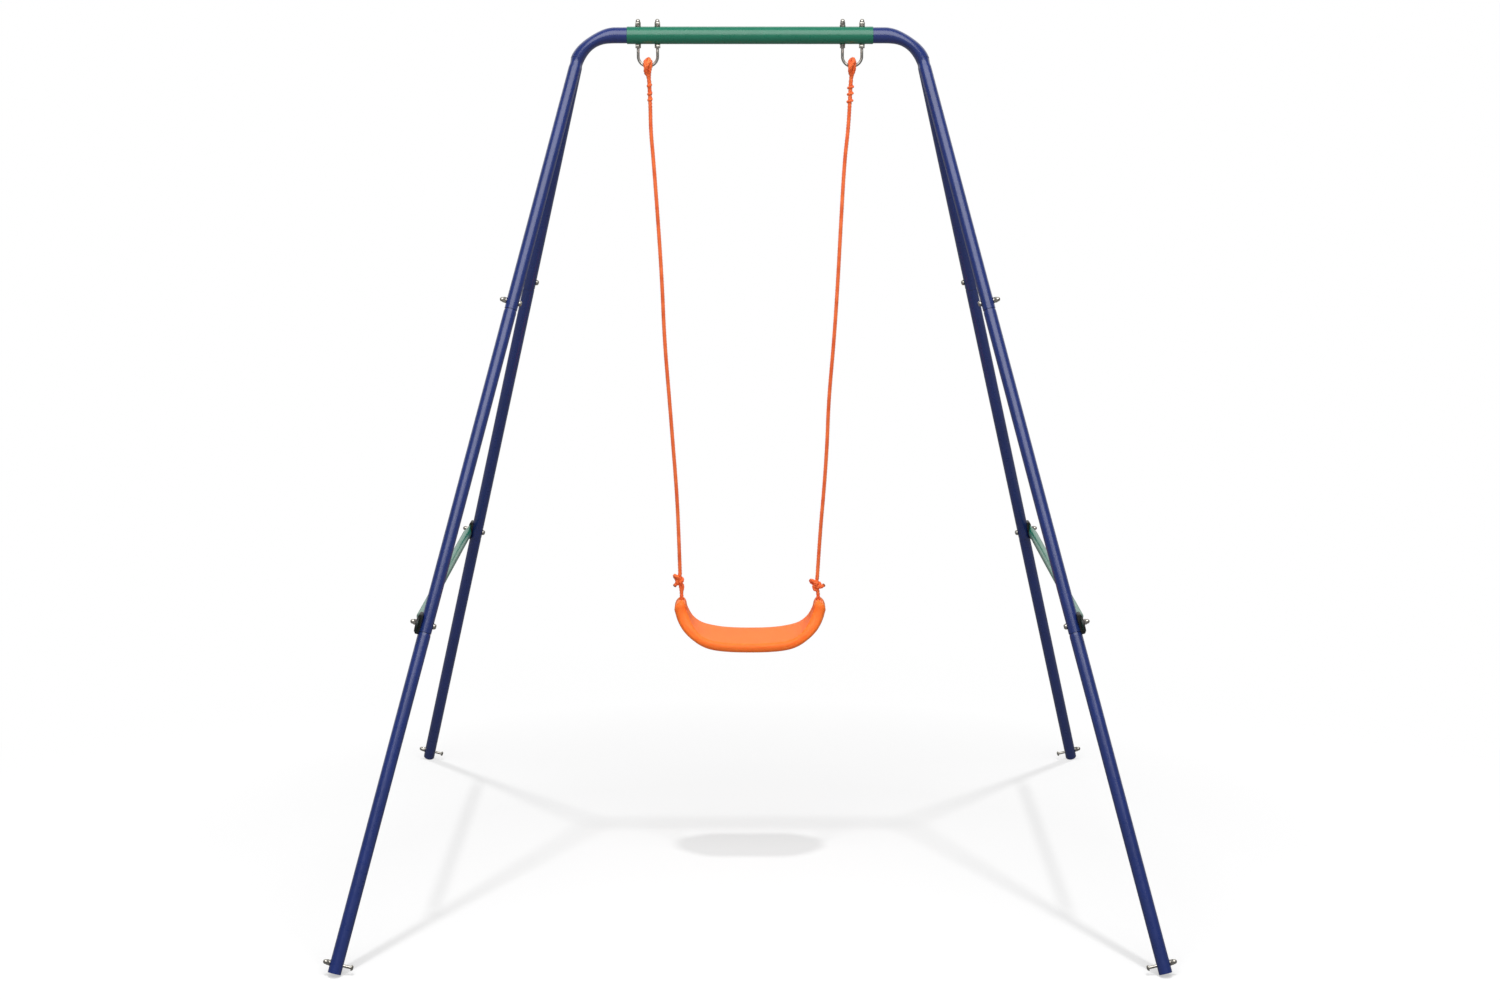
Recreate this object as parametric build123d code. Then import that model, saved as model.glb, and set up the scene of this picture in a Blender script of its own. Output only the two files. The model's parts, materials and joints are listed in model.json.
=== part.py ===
"""Single-seat children's swing: a bolted tube A-frame, two hanging ropes and a moulded seat.

Frame: millimetres, +Z up, +X along the crossbar, +Y from the front pair of feet to the rear pair.
The origin is on the ground, midway between the four feet.
"""
import os
from math import cos, radians, sin, sqrt

from build123d import *

# ---- driving dimensions --------------------------------------------------------------------
FOOT_HALF_X = 785.0          # foot centre from the middle, along the crossbar
FOOT_HALF_Y = 685.0          # foot centre from the middle, front to rear
FORK_HALF_Y = 13.0           # leg centre beside the middle plane, where the two legs part
BAR_Z = 1738.0               # height of the crossbar axis

BAR_OD, BAR_WALL, BAR_LENGTH = 35.0, 1.4, 497.4
CORNER_OD, CORNER_WALL = 32.0, 1.4
CORNER_INSERT = 77.0         # length of corner tube inside the crossbar
BEND_START_X = 272.0         # where the corner tube leaves the crossbar's line
BEND_RADIUS = 84.5           # of the corner tube's axis
BEND_ANGLE = 75.5            # degrees from level down to the legs
BEND_THROAT = 4.2            # how far the bend flattens, on the half thickness
BEND_RECOVERY = 0.7          # how much of that comes back at the lower end
LEG_OD, LEG_WALL = 25.4, 1.2
LEG_OVERRUN = 20.0           # how far a leg runs up the side of the corner tube
WELD_RISE = 18.0             # height of the sloped bead above the leg's cut top
NECK_CLEARANCE = 0.1         # between a swaged neck and the tube it slides into
NECK_LENGTH, SHOULDER_LENGTH = 60.0, 5.0
JOINT_BOLT_AT = 504.0        # distance down the leg from the fork to the upper joint's bolt
BRACE_BOLT_AT = 1168.0       # the same to the lower joint's bolt, which also holds the brace
RIM_BELOW_BOLT = 16.0        # from a joint's bolt down to the upper tube's rim
FOOT_BOLT_ABOVE_END = 18.0
FOOT_BOLT_STAND_OFF = 15.0   # bare shank between the foot and the anchor bolt's head

ROD_D = 6.0                  # every bolt and U-bolt is M6
BOLT_HOLE = 6.5
WASHER_OD, WASHER_T = 12.0, 1.6
NUT_FLATS, NUT_H = 10.0, 6.5
CAP_HEX_H, CAP_H, CAP_THREAD = 5.5, 12.0, 8.0
HEAD_D, HEAD_H = 11.6, 4.2
U_BOLT_X, U_BOLT_HALF = 206.8, 19.6
U_BOLT_DROP = 61.5           # crossbar axis down to the U-bolt's lowest rod centre

BRACE_OD, BRACE_WALL = 19.0, 1.2
BRACE_FLAT_W, BRACE_FLAT_T = 28.0, 3.4
BRACE_FLAT_LENGTH, BRACE_TAPER = 29.0, 34.0
SADDLE_CREST, SADDLE_LIP = 3.2, 5.0
SADDLE_WIDTH, SADDLE_WRAP = 25.0, 2.5

ROPE_D = 9.0
EYE_RADIUS = 8.7             # rope centre to the U-bolt's rod centre
EYE_HALF = 4.4               # each turn's centre beside the rope's line
RIDER_RADIUS = 16.1          # centre of the strand that crosses over the two turns
PIVOT_Z = 564.0              # where the ropes turn in the mouths of the seat's holes
PIVOT_X = 144.5
ROPE_LEFT = [(-204.7, 1648.5), (-202.6, 1601.0), (-202.4, 1549.0), (-197.2, 1488.0), (-189.0, 1366.0),
             (-181.6, 1242.0), (-177.4, 1118.0), (-167.8, 992.0), (-161.0, 897.0), (-154.0, 801.0),
             (-150.2, 711.0), (-147.8, 621.0)]
ROPE_RIGHT = [(204.8, 1648.5), (202.8, 1601.0), (200.0, 1549.0), (193.2, 1488.0), (187.0, 1366.0),
              (181.4, 1242.0), (174.2, 1118.0), (163.8, 992.0), (161.2, 897.0), (155.2, 801.0),
              (147.6, 711.0), (142.2, 614.0)]
KNOT_SIZE = 22.0
KNOT_ENDS_LEFT = [(-13, -2, 8), (-11, 4, -9), (9, -3, 3)]
KNOT_ENDS_RIGHT = [(-15, -2, 8), (11, 3, -5)]

SEAT_LINE = [(0, 476.8), (52, 478.6), (85, 484), (105, 491.8), (121, 504), (133, 519.5), (142, 537.5),
             (147, 556)]        # half of the seat's centre line, from the middle to the right tip
SEAT_DEPTH, SEAT_TIP_DEPTH = 150.0, 64.0
SEAT_THICK, SEAT_TIP_THICK = 19.5, 25.0
SEAT_TIP_CROWN = 11.0        # height of the rounded end above the last full section
MOUTH_RADIUS, STOP_RADIUS = 5.0, 9.0
MOUTH_FLARE = 6.2            # front and rear, so the seat can tilt on its ropes
POCKET_RADIUS, POCKET_TOP = 10.0, 537.0

# ---- derived places ------------------------------------------------------------------------
BEND = radians(BEND_ANGLE)
FORK_X = BEND_START_X + BEND_RADIUS * sin(BEND)
FORK_Z = BAR_Z - BEND_RADIUS * (1 - cos(BEND))
LEG_R, NECK_R = LEG_OD / 2, LEG_OD / 2 - LEG_WALL - NECK_CLEARANCE
LEG_LINE = sqrt((FOOT_HALF_X - FORK_X) ** 2 + (FOOT_HALF_Y - FORK_HALF_Y) ** 2 + FORK_Z ** 2)
LEG_RISE = FORK_Z / LEG_LINE
LEG_END = LEG_LINE - LEG_R * sqrt(1 - LEG_RISE ** 2) / LEG_RISE
HANG_Z = BAR_Z - U_BOLT_DROP
CORNERS = {"left": -1, "right": 1}
LEGS = {"front_left": (-1, -1), "front_right": (1, -1), "rear_left": (-1, 1), "rear_right": (1, 1)}


def leg_plane(side, end, along=0.0):
    """Plane on a leg's axis: its z runs down the leg and its x along the bolts, outwards."""
    fork = Vector(side * FORK_X, end * FORK_HALF_Y, FORK_Z)
    foot = Vector(side * FOOT_HALF_X, end * FOOT_HALF_Y, 0)
    down = (foot - fork).normalized()
    outward = Vector(side * -down.Z, 0, abs(down.X)).normalized()
    return Plane(origin=fork + down * along, x_dir=outward, z_dir=down)


def cross_hole(along):
    """Bolt hole through both walls of a leg, on the leg's own axes."""
    return Pos(0, 0, along) * Rot(0, 90, 0) * Cylinder(BOLT_HOLE / 2, 2 * LEG_OD)


# ---- crossbar and corner tubes -------------------------------------------------------------
def u_bolt_holes():
    holes = [Pos(side * (U_BOLT_X + leg * U_BOLT_HALF), 0, BAR_Z) * Cylinder(BOLT_HOLE / 2, 2 * BAR_OD)
             for side in (-1, 1) for leg in (-1, 1)]
    return Compound(holes)


def crossbar():
    tube = Cylinder(BAR_OD / 2, BAR_LENGTH) - Cylinder(BAR_OD / 2 - BAR_WALL, BAR_LENGTH)
    return Pos(0, 0, BAR_Z) * Rot(0, 90, 0) * tube - u_bolt_holes()


def smooth(t):
    t = min(1.0, max(0.0, t))
    return t * t * (3 - 2 * t)


def bend_section(t, inset):
    """Oval section of the corner tube at the fraction t of its bend, at constant girth."""
    half = CORNER_OD / 2
    thin = half - BEND_THROAT * smooth(t / 0.5) + BEND_RECOVERY * smooth(t / 0.5 - 1)
    wide = sqrt(2 * half ** 2 - thin ** 2)
    angle = BEND * t
    centre = (BEND_START_X + BEND_RADIUS * sin(angle), 0, BAR_Z - BEND_RADIUS * (1 - cos(angle)))
    plane = Plane(origin=centre, x_dir=(0, 1, 0), z_dir=(cos(angle), 0, -sin(angle)))
    return plane * Ellipse(wide - inset, thin - inset)


def corner_core(inset):
    """Solid right-hand corner: a straight round stretch, then the flattened bend."""
    radius = CORNER_OD / 2 - inset
    start = BAR_LENGTH / 2 - CORNER_INSERT
    run = BEND_START_X - start
    straight = Plane(origin=(start, 0, BAR_Z), z_dir=(1, 0, 0)) * extrude(Circle(radius), run)
    steps = 6
    return straight + loft([bend_section(i / steps, inset) for i in range(steps + 1)])


def corner_tube(side):
    tube = corner_core(0) - corner_core(CORNER_WALL) - u_bolt_holes()
    return tube if side > 0 else tube.mirror(Plane.YZ)


# ---- legs ----------------------------------------------------------------------------------
def half_space(end):
    """Everything on one leg's side of the middle plane."""
    reach = 4 * FOOT_HALF_Y
    return Pos(0, end * reach / 2, 0) * Box(reach, reach, 2 * reach)


def upper_leg(side, end, core):
    """Plain tube, coped round the corner tube it is welded to and mitred against its twin."""
    length = LEG_OVERRUN + JOINT_BOLT_AT + RIM_BELOW_BOLT
    profile = Circle(LEG_R) - Circle(LEG_R - LEG_WALL)
    tube = Pos(0, 0, -LEG_OVERRUN) * extrude(profile, length) - cross_hole(JOINT_BOLT_AT)
    return (leg_plane(side, end) * tube - core) & half_space(end)


def swaged_tube(rim, stop):
    """Tube with a swaged neck that fits inside the tube above, whose rim is at the given distance."""
    cone = SHOULDER_LENGTH / (LEG_R - NECK_R)
    shoulder = rim - 0.8 * NECK_CLEARANCE * cone
    neck_top = rim - NECK_LENGTH
    outer = [(NECK_R, neck_top), (NECK_R, shoulder), (LEG_R, shoulder + SHOULDER_LENGTH), (LEG_R, stop)]
    inner = [(r - LEG_WALL, z) for r, z in reversed(outer)]
    outline = make_face(Polyline(*[(r, 0, z) for r, z in outer + inner], close=True))
    return revolve(outline, Axis.Z)


def middle_leg(side, end):
    tube = swaged_tube(JOINT_BOLT_AT + RIM_BELOW_BOLT, BRACE_BOLT_AT + RIM_BELOW_BOLT)
    return leg_plane(side, end) * (tube - cross_hole(JOINT_BOLT_AT) - cross_hole(BRACE_BOLT_AT))


def lower_leg(side, end):
    tube = swaged_tube(BRACE_BOLT_AT + RIM_BELOW_BOLT, LEG_END)
    tube -= cross_hole(BRACE_BOLT_AT)
    return leg_plane(side, end) * (tube - cross_hole(LEG_END - FOOT_BOLT_ABOVE_END))


def corner_weld(side, core, legs):
    """Sloped bead that closes the tops of the two coped legs against the corner tube."""
    bead = Part()
    for end in (-1, 1):
        cap = Pos(0, 0, 1.5 - LEG_OVERRUN) * extrude(Circle(LEG_R + 0.5), -2)
        cap += Pos(0, 0, -LEG_OVERRUN - WELD_RISE / 2) * Cone(LEG_R / 2, LEG_R + 0.5, WELD_RISE)
        bead += (leg_plane(side, end) * cap) & half_space(end)
    for leg in legs:
        bead -= leg
    return bead - core - leg_bores(side)


def leg_bores(side):
    bores = Part()
    for end in (-1, 1):
        depth = 2 * LEG_OVERRUN
        bore = extrude(Circle(LEG_R - LEG_WALL), depth)
        bores += (leg_plane(side, end, 1.5 - LEG_OVERRUN) * bore) & half_space(end)
    return bores


# ---- fasteners, each on a plane whose z points from the head to the nut ---------------------
def hexagon(flats):
    return RegularPolygon(flats / sqrt(3), 6)


def washer():
    return extrude(Circle(WASHER_OD / 2) - Circle(BOLT_HOLE / 2), WASHER_T)


def plain_nut():
    return extrude(hexagon(NUT_FLATS) - Circle(ROD_D / 2), NUT_H)


def cap_nut():
    """Hexagon base with a domed blind cap."""
    dome_r = NUT_FLATS / 2 - 0.3
    shoulder = CAP_H - dome_r
    cap = Pos(0, 0, CAP_HEX_H) * extrude(Circle(dome_r), shoulder - CAP_HEX_H)
    dome = Pos(0, 0, shoulder) * Sphere(dome_r, arc_size1=0, align=(Align.CENTER, Align.CENTER, Align.MIN))
    return extrude(hexagon(NUT_FLATS), CAP_HEX_H) + cap + dome - extrude(Circle(ROD_D / 2), CAP_THREAD)


def pan_bolt(grip, thread):
    """Shank from the head's underside at the plane, with a domed head behind it."""
    outline = Polyline((0, 0, -HEAD_H), (HEAD_D / 4, 0, -HEAD_H))
    outline += ThreePointArc((HEAD_D / 4, 0, -HEAD_H), (HEAD_D * 0.43, 0, -HEAD_H * 0.62), (HEAD_D / 2, 0, 0))
    outline += Polyline((HEAD_D / 2, 0, 0), (0, 0, 0), (0, 0, -HEAD_H))
    return revolve(make_face(outline), Axis.Z) + extrude(Circle(ROD_D / 2), grip + thread)


def bolt_plane(side, end, along, out):
    """Plane across a leg's bolt, with z outwards, at the distance out from the leg's axis."""
    leg = leg_plane(side, end, along)
    return Plane(origin=leg.origin + leg.x_dir * out, x_dir=leg.z_dir, z_dir=leg.x_dir)


def leg_fasteners(along, inner_gap, outer_gap, inner_washer):
    """Bolts, washers and cap nuts of one height on all four legs.

    inner_gap is bare shank inside the frame, and outer_gap is what else the bolt clamps outside.
    """
    bolts, washers, nuts = [], [], []
    inner = LEG_R + inner_gap + (WASHER_T if inner_washer else 0)
    outer = LEG_R + outer_gap
    for side, end in LEGS.values():
        if inner_washer:
            washers.append(bolt_plane(side, end, along, -inner) * washer())
        washers.append(bolt_plane(side, end, along, outer) * washer())
        nuts.append(bolt_plane(side, end, along, outer + WASHER_T) * cap_nut())
        grip = inner + outer + WASHER_T
        bolts.append(bolt_plane(side, end, along, -inner) * pan_bolt(grip, CAP_THREAD - 0.5))
    return Compound(bolts), Compound(washers), Compound(nuts)


# ---- U-bolts -------------------------------------------------------------------------------
def u_bolt(side):
    """Rod bent in a half circle, its two legs up through the crossbar."""
    top = BAR_Z + BAR_OD / 2 + 2 * WASHER_T + CAP_THREAD - 0.5
    spring_z = HANG_Z + U_BOLT_HALF
    left, right = side * U_BOLT_X - U_BOLT_HALF, side * U_BOLT_X + U_BOLT_HALF
    path = Line((left, 0, top), (left, 0, spring_z))
    path += ThreePointArc((left, 0, spring_z), (side * U_BOLT_X, 0, HANG_Z), (right, 0, spring_z))
    path += Line((right, 0, spring_z), (right, 0, top))
    return sweep(Plane(origin=(left, 0, top), z_dir=(0, 0, -1)) * Circle(ROD_D / 2), path)


def u_bolt_hardware():
    """Nut and washer under the bar, two washers and a cap nut on top, on each of the four legs."""
    washers, lower_nuts, cap_nuts = [], [], []
    top, bottom = BAR_Z + BAR_OD / 2, BAR_Z - BAR_OD / 2
    for side in CORNERS.values():
        for leg in (-1, 1):
            x = side * U_BOLT_X + leg * U_BOLT_HALF
            washers += [Pos(x, 0, z) * washer() for z in (bottom - WASHER_T, top, top + WASHER_T)]
            lower_nuts.append(Pos(x, 0, bottom - WASHER_T - NUT_H) * plain_nut())
            cap_nuts.append(Pos(x, 0, top + 2 * WASHER_T) * cap_nut())
    return Compound(washers), Compound(lower_nuts), Compound(cap_nuts)


# ---- braces --------------------------------------------------------------------------------
def brace_origin(side):
    """Middle of a brace, on the mid-plane of its flattened ends."""
    leg = leg_plane(side, 1, BRACE_BOLT_AT)
    centre = leg.origin + leg.x_dir * (LEG_R + SADDLE_CREST + BRACE_FLAT_T / 2)
    return Plane(origin=(centre.X, 0, centre.Z), x_dir=leg.x_dir, z_dir=(0, 1, 0)), centre.Y


def brace(side):
    """Tube with both ends pressed flat, rounded and drilled."""
    plane, bolt_y = brace_origin(side)
    flat_end = BRACE_FLAT_LENGTH / 2
    flat_start = bolt_y - flat_end
    round_half = flat_start - BRACE_TAPER
    radius = BRACE_OD / 2
    body = extrude(Circle(radius), round_half, both=True)
    bore = extrude(Circle(radius - BRACE_WALL), round_half, both=True)
    slot = SlotOverall(BRACE_FLAT_LENGTH + BRACE_FLAT_W, BRACE_FLAT_W, rotation=90)
    beyond = Pos(0, 0, flat_start + BRACE_FLAT_W) * Box(*[2 * BRACE_FLAT_W] * 3)
    plate = extrude(Plane.YZ * Pos(0, bolt_y) * slot, BRACE_FLAT_T / 2, both=True) & beyond
    hole = Pos(0, 0, bolt_y) * Rot(0, 90, 0) * Cylinder(BOLT_HOLE / 2, BRACE_OD)
    for end in (1, -1):
        pressed = Ellipse(BRACE_FLAT_T / 2, BRACE_FLAT_W / 2)
        closing = Ellipse(BRACE_FLAT_T / 2 - BRACE_WALL, BRACE_FLAT_W / 2 - BRACE_WALL)
        shape = loft([Pos(0, 0, round_half) * Circle(radius), Pos(0, 0, flat_start) * pressed])
        shape = shape + plate - hole
        inner_round = Pos(0, 0, round_half) * Circle(radius - BRACE_WALL)
        cavity = loft([inner_round, Pos(0, 0, flat_start - 2) * closing])
        if end < 0:
            shape, cavity = shape.mirror(Plane.XY), cavity.mirror(Plane.XY)
        body += shape
        bore += cavity
    return plane * (body - bore)


def brace_saddle(side, end):
    """Plastic spacer, hollowed to the leg, with a lip above and below the flattened brace end."""
    leg = leg_plane(side, end, BRACE_BOLT_AT)
    plane = Plane(origin=leg.origin, x_dir=leg.x_dir, z_dir=(0, end, 0))
    height = BRACE_FLAT_W + 2 * SADDLE_LIP + 1
    inner, crest = LEG_R - SADDLE_WRAP, LEG_R + SADDLE_CREST
    outer = crest + BRACE_FLAT_T
    block = Pos((inner + outer) / 2, 0, 0) * Box(outer - inner, height, SADDLE_WIDTH)
    block = fillet(block.edges().filter_by(Axis.Z).sort_by(Axis.X)[-2:], 3)
    seat = Pos(crest + BRACE_FLAT_T, 0, 0) * Box(2 * BRACE_FLAT_T, BRACE_FLAT_W + 1, 2 * SADDLE_WIDTH)
    hole = Rot(0, 90, 0) * Cylinder(BOLT_HOLE / 2, 4 * LEG_OD)
    tube = leg * Cylinder(LEG_R, 8 * LEG_OD)
    return plane * (block - seat - hole) - tube


# ---- ropes ---------------------------------------------------------------------------------
def rope(points):
    """Round cord through the points: straight runs joined by the largest tangent arcs they allow."""
    corners = [Vector(x, 0, z) for x, z in points]
    runs = [b - a for a, b in zip(corners, corners[1:])]
    radii = []
    for before, after in zip(runs, runs[1:]):
        half_turn = radians(before.get_angle(after)) / 2
        radii.append(0.45 * min(before.length, after.length) / (sin(half_turn) / cos(half_turn)))
    path = FilletPolyline(*corners, radius=radii)
    section = Plane(origin=corners[0], z_dir=runs[0]) * Circle(ROPE_D / 2)
    cord = sweep(section, path)
    print("rope radii", [round(r) for r in radii], "length", round(path.length, 1),
          "volume ratio", round(cord.volume / (section.area * path.length), 4))
    return cord


def rope_eye(points):
    """Two turns round the U-bolt with a third strand crossing over them, drawn down into one rope."""
    start = Vector(points[0][0], 0, points[0][1])
    run = Vector(points[1][0], 0, points[1][1]) - start
    centre = U_BOLT_X if start.X > 0 else -U_BOLT_X
    turns = Part()
    for offset in (-EYE_HALF, EYE_HALF):
        turns += Pos(centre + offset, 0, HANG_Z) * Rot(0, 90, 0) * Torus(EYE_RADIUS, ROPE_D / 2)
    reach = RIDER_RADIUS * sin(1)
    low = HANG_Z + RIDER_RADIUS * cos(1)
    arc = ThreePointArc((centre, -reach, low), (centre, 0, HANG_Z + RIDER_RADIUS), (centre, reach, low))
    rider = sweep(Plane(origin=arc @ 0, z_dir=arc % 0) * Circle(ROPE_D / 2), arc)
    for point in (arc @ 0, arc @ 1):
        rider += Pos(point) * Sphere(ROPE_D / 2)
    top = Pos(centre, 0, HANG_Z - EYE_RADIUS) * Ellipse(ROPE_D - 0.2, EYE_RADIUS)
    bottom = Plane(origin=start, z_dir=-run) * Circle(ROPE_D / 2)
    return turns + rider + loft([bottom, top])


def rope_knot(points, tip, stubs):
    """Overhand knot as a lump with its short free ends, and the rope below it down to the seat."""
    top = Vector(points[-1][0], 0, points[-1][1])
    run = (top - Vector(points[-2][0], 0, points[-2][1])).normalized()
    centre = top + run * (KNOT_SIZE * 0.65)
    lump = Pos(centre) * Sphere(KNOT_SIZE / 2)
    lump += Plane(origin=top, z_dir=run) * extrude(Circle(ROPE_D / 2), KNOT_SIZE / 2)
    for way in stubs:
        lump += Plane(origin=centre, z_dir=way) * extrude(Circle(ROPE_D / 2), Vector(*way).length)
    drop = tip - centre
    lump += Plane(origin=centre, z_dir=drop) * extrude(Circle(ROPE_D / 2), drop.length)
    return lump + Pos(tip) * Sphere(ROPE_D / 2)


# ---- seat ----------------------------------------------------------------------------------
def seat_section(line, fraction):
    """Rounded section across the seat at the fraction of its centre line, 0 at the left tip."""
    from_middle = abs(2 * fraction - 1)
    depth = SEAT_DEPTH - (SEAT_DEPTH - SEAT_TIP_DEPTH) * smooth((from_middle - 0.4) / 0.6)
    thick = SEAT_THICK + (SEAT_TIP_THICK - SEAT_THICK) * smooth((from_middle - 0.6) / 0.35)
    plane = Plane(origin=line @ fraction, x_dir=(0, 1, 0), z_dir=line % fraction)
    return plane * RectangleRounded(depth, thick, thick * 0.42)


def seat_tip(line, end):
    """Rounded end beyond the last full section."""
    last = seat_section(line, end)
    outward = (line % end) * (1 if end else -1)
    rounds = []
    for step in (0.3, 0.6, 0.85, 1.0):
        rise = sin(step * radians(90))
        share = 0.35 + 0.65 * cos(step * radians(90))
        origin = (line @ end) + outward * SEAT_TIP_CROWN * rise
        thick = SEAT_TIP_THICK * share
        depth = SEAT_TIP_DEPTH - SEAT_TIP_THICK + thick
        plane = Plane(origin=origin, x_dir=(0, 1, 0), z_dir=line % end)
        rounds.append(plane * RectangleRounded(depth, thick, thick * 0.42))
    return loft([last] + rounds)


def rope_holes():
    """In each tip a mouth flared front and rear, a hole for the rope and its stopper's pocket."""
    holes = Part()
    for side in (-1, 1):
        narrow = Pos(0, 0, PIVOT_Z) * Circle(MOUTH_RADIUS)
        flared = Pos(0, 0, PIVOT_Z + 10) * Ellipse(MOUTH_RADIUS + 0.6, MOUTH_RADIUS + MOUTH_FLARE)
        mouth = loft([narrow, flared])
        ball = Pos(0, 0, PIVOT_Z) * Sphere(MOUTH_RADIUS)
        depth = PIVOT_Z - POCKET_TOP
        bore = Pos(0, 0, POCKET_TOP + depth / 2) * Cylinder(MOUTH_RADIUS, depth)
        pocket = Pos(0, 0, POCKET_TOP) * extrude(Circle(POCKET_RADIUS), -60)
        holes += Pos(side * PIVOT_X, 0, 0) * (mouth + ball + bore + pocket)
    return holes


def seat():
    half = [(x, 0, z) for x, z in SEAT_LINE]
    line = Spline(*[(-x, y, z) for x, y, z in reversed(half)], *half[1:])
    steps = 20
    body = loft([seat_section(line, i / steps) for i in range(steps + 1)])
    return body + seat_tip(line, 0) + seat_tip(line, 1) - rope_holes()


def rope_stop(side):
    """The rope's end inside the seat: a stub in the hole and the knot that holds it in its pocket."""
    stub = Pos(0, 0, POCKET_TOP) * extrude(Circle(ROPE_D / 2), PIVOT_Z - MOUTH_RADIUS - POCKET_TOP)
    knot = Pos(0, 0, POCKET_TOP - STOP_RADIUS) * Sphere(STOP_RADIUS)
    neck = Pos(0, 0, POCKET_TOP) * extrude(Circle(ROPE_D / 2), -STOP_RADIUS)
    return Pos(side * PIVOT_X, 0, 0) * (stub + knot + neck)


# ---- build and write -----------------------------------------------------------------------
def build():
    parts = {"crossbar": crossbar(), "seat": seat()}
    core = corner_core(0)
    for name, side in CORNERS.items():
        own_core = core if side > 0 else core.mirror(Plane.YZ)
        legs = [upper_leg(side, end, own_core) for end in (-1, 1)]
        parts[f"corner_tube_{name}"] = corner_tube(side)
        parts[f"upper_leg_front_{name}"], parts[f"upper_leg_rear_{name}"] = legs
        parts[f"corner_weld_{name}"] = corner_weld(side, own_core, legs)
        parts[f"brace_{name}"] = brace(side)
        parts[f"u_bolt_{name}"] = u_bolt(side)
        points = ROPE_RIGHT if side > 0 else ROPE_LEFT
        parts[f"rope_{name}"] = rope(points)
        parts[f"rope_eye_{name}"] = rope_eye(points)
        tip = Vector(side * PIVOT_X, 0, PIVOT_Z)
        ends = KNOT_ENDS_RIGHT if side > 0 else KNOT_ENDS_LEFT
        parts[f"rope_knot_{name}"] = rope_knot(points, tip, ends)
        parts[f"rope_stop_{name}"] = rope_stop(side)
    for name, (side, end) in LEGS.items():
        parts[f"middle_leg_{name}"] = middle_leg(side, end)
        parts[f"lower_leg_{name}"] = lower_leg(side, end)
        parts[f"brace_saddle_{name}"] = brace_saddle(side, end)
    clamp = SADDLE_CREST + BRACE_FLAT_T
    sets = {"joint": leg_fasteners(JOINT_BOLT_AT, 0, 0, True),
            "brace": leg_fasteners(BRACE_BOLT_AT, 0, clamp, True),
            "foot": leg_fasteners(LEG_END - FOOT_BOLT_ABOVE_END, FOOT_BOLT_STAND_OFF, 0, False)}
    for name, (bolts, washers, nuts) in sets.items():
        parts[f"{name}_bolts"], parts[f"{name}_washers"], parts[f"{name}_cap_nuts"] = bolts, washers, nuts
    parts["u_bolt_washers"], parts["u_bolt_lower_nuts"], parts["u_bolt_cap_nuts"] = u_bolt_hardware()
    return parts


os.makedirs("parts", exist_ok=True)
for node, shape in build().items():
    export_step(shape, f"parts/{node}.step")
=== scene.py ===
import json
import math

import bmesh
import bpy
from mathutils import Matrix, Vector, noise
from mathutils.bvhtree import BVHTree


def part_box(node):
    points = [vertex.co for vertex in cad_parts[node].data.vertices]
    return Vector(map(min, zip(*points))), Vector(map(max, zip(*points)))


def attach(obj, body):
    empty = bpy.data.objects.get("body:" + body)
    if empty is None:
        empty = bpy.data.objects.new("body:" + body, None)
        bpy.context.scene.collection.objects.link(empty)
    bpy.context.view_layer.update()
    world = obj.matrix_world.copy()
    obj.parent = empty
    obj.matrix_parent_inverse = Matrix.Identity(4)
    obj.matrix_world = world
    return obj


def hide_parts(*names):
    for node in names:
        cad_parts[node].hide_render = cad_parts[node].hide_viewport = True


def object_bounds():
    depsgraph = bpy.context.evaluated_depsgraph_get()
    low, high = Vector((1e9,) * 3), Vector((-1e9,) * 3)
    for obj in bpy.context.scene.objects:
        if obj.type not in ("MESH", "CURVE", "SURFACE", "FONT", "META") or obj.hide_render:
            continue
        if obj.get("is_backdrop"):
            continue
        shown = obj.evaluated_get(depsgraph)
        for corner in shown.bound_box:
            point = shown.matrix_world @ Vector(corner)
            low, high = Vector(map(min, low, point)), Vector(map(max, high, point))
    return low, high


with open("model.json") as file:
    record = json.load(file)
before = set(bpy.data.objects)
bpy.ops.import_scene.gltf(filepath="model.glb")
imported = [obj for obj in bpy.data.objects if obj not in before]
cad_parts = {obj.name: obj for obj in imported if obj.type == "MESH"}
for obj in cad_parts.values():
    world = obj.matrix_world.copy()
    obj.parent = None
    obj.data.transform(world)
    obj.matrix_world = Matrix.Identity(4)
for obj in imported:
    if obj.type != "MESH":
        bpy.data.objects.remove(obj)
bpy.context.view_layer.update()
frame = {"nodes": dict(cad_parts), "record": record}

# ---- Camera --------------------------------------------------------------------------------
# A short telephoto lens level with the top of the swing, five metres in front of it and
# pitched down, so that the crossbar and all four feet fill the picture.
EYE_PITCH = 11.27  # degrees below level
eye = bpy.data.cameras.new("camera")
eye.sensor_width = 36
eye.lens = 57.7
camera = bpy.data.objects.new("camera", eye)
camera.location = (0.0, -4.952, 1.7666)
camera.rotation_euler = (math.radians(90 - EYE_PITCH), 0, 0)
bpy.context.scene.collection.objects.link(camera)
bpy.context.scene.camera = camera
bpy.context.scene.view_settings.view_transform = "Standard"


# ---- Ropes ---------------------------------------------------------------------------------
# Two limp hollow-braid ropes of bright orange polyethylene, eight strands each, 9 mm across.
# They hang from the U-bolts, wander a little as a used rope does, and carry the seat.
def linear(code):
    """sRGB hex to the linear colour that the shaders take."""
    parts = [int(code[i:i + 2], 16) / 255 for i in (0, 2, 4)]
    return [c / 12.92 if c <= 0.04045 else ((c + 0.055) / 1.055) ** 2.4 for c in parts] + [1.0]


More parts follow.
